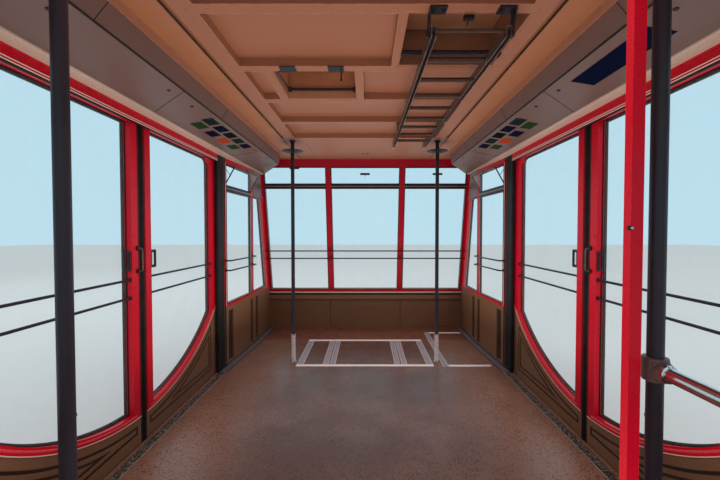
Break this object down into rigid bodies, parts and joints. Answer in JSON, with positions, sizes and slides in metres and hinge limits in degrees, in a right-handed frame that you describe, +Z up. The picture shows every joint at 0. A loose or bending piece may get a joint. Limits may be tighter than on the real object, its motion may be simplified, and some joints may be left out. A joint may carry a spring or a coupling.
{
  "type": "aerial tramway cabin with hanger",
  "caption": "Large glazed aerial tramway cabin with sliding doors, grab poles, coffered ceiling, hatches and ladder, hung by a box-section arm from a bore at the top.",
  "frame": {"origin": "centre of the hanger head's bore, where the cabin hangs from its carriage", "axes": "+Y along the line, the way the cabin travels; +X to the right; +Z up"},
  "size_m": [3.188, 6.002, 6.8899],
  "materials": {
    "floor_rubber": "satin",
    "strip_metal": "satin",
    "grate_black": "matte",
    "frame_grey": "satin",
    "skirt_grey": "satin",
    "lining_brown": "satin",
    "frame_red": "satin",
    "bar_black": "satin",
    "pane": "clear",
    "rubber_black": "matte",
    "housing_grey": "satin",
    "trim_cream": "satin",
    "ceiling_beige": "satin",
    "roof_pale": "satin",
    "bright_steel": "polished",
    "ladder_metal": "satin",
    "hanger_grey": "satin"
  },
  "bodies": {
    "root": {"attendant_post": "frame_red", "attendant_rail": "bright_steel", "bumpers": "rubber_black", "ceiling_panel": "ceiling_beige", "ceiling_ribs": "ceiling_beige", "door_headers": "frame_red", "door_posts": "rubber_black", "door_thresholds": "grate_black", "door_tracks": "strip_metal", "drive_housings": "housing_grey", "end_bars": "bar_black", "end_frames": "frame_red", "end_panes": "pane", "end_sills": "trim_cream", "end_transoms": "bar_black", "end_walls": "lining_brown", "floor_deck": "floor_rubber", "floor_strips": "strip_metal", "hanger_arm": "hanger_grey", "hanger_beams": "hanger_grey", "hanger_head": "hanger_grey", "hanger_ladder": "ladder_metal", "hanger_spine": "hanger_grey", "hatch_coamings": "frame_grey", "ladder_brackets": "bar_black", "pole_dishes": "bar_black", "pole_sleeves": "bright_steel", "poles": "bar_black", "roof_rails": "frame_grey", "roof_shell": "roof_pale", "side_bars": "bar_black", "side_frames": "frame_red", "side_panes": "pane", "side_transoms": "bar_black", "side_walls": "lining_brown", "skirt": "skirt_grey", "soffit_trims": "trim_cream", "underframe": "frame_grey"},
    "floor_hatch": {"floor_hatch_lid": "floor_rubber", "lid_strips": "strip_metal"},
    "vent_lid": {"roof_vent_lid": "roof_pale"},
    "hatch_lid": {"roof_hatch_lid": "roof_pale"},
    "ladder": {"ceiling_ladder": "ladder_metal"},
    "door_front_right": {"door_frame_front_right": "frame_red", "door_panel_front_right": "lining_brown", "door_pane_front_right": "pane", "door_fittings_front_right": "bar_black"},
    "door_rear_right": {"door_frame_rear_right": "frame_red", "door_panel_rear_right": "lining_brown", "door_pane_rear_right": "pane", "door_fittings_rear_right": "bar_black"},
    "door_front_left": {"door_frame_front_left": "frame_red", "door_panel_front_left": "lining_brown", "door_pane_front_left": "pane", "door_fittings_front_left": "bar_black"},
    "door_rear_left": {"door_frame_rear_left": "frame_red", "door_panel_rear_left": "lining_brown", "door_pane_rear_left": "pane", "door_fittings_rear_left": "bar_black"}
  },
  "joints": [
    {"name": "door_slide_front_right", "type": "slide", "parent": "root", "child": "door_front_right", "axis": [0, 1, 0], "range_m": [0, 1.05]},
    {"name": "door_slide_rear_right", "type": "slide", "parent": "root", "child": "door_rear_right", "axis": [0, -1, 0], "range_m": [0, 1.05]},
    {"name": "door_slide_front_left", "type": "slide", "parent": "root", "child": "door_front_left", "axis": [0, 1, 0], "range_m": [0, 1.05]},
    {"name": "door_slide_rear_left", "type": "slide", "parent": "root", "child": "door_rear_left", "axis": [0, -1, 0], "range_m": [0, 1.05]},
    {"name": "floor_hatch_hinge", "type": "hinge", "parent": "root", "child": "floor_hatch", "pos_m": [0, 2.1855, -6.496], "axis": [-1, 0, 0], "range_deg": [0, 95]},
    {"name": "roof_vent_hinge", "type": "hinge", "parent": "root", "child": "vent_lid", "pos_m": [-0.032, 0.02, -3.835], "axis": [0, 1, 0], "range_deg": [0, 25]},
    {"name": "roof_hatch_hinge", "type": "hinge", "parent": "root", "child": "hatch_lid", "pos_m": [0.49, -0.814, -3.835], "axis": [1, 0, 0], "range_deg": [0, 100]},
    {"name": "ladder_hinge", "type": "hinge", "parent": "root", "child": "ladder", "pos_m": [0.477, -0.78, -4.142], "axis": [-1, 0, 0], "range_deg": [0, 74]}
  ],
  "couplings": [
    {"joint": "door_slide_rear_right", "follows": "door_slide_front_right", "ratio": 1},
    {"joint": "door_slide_rear_left", "follows": "door_slide_front_left", "ratio": 1}
  ]
}
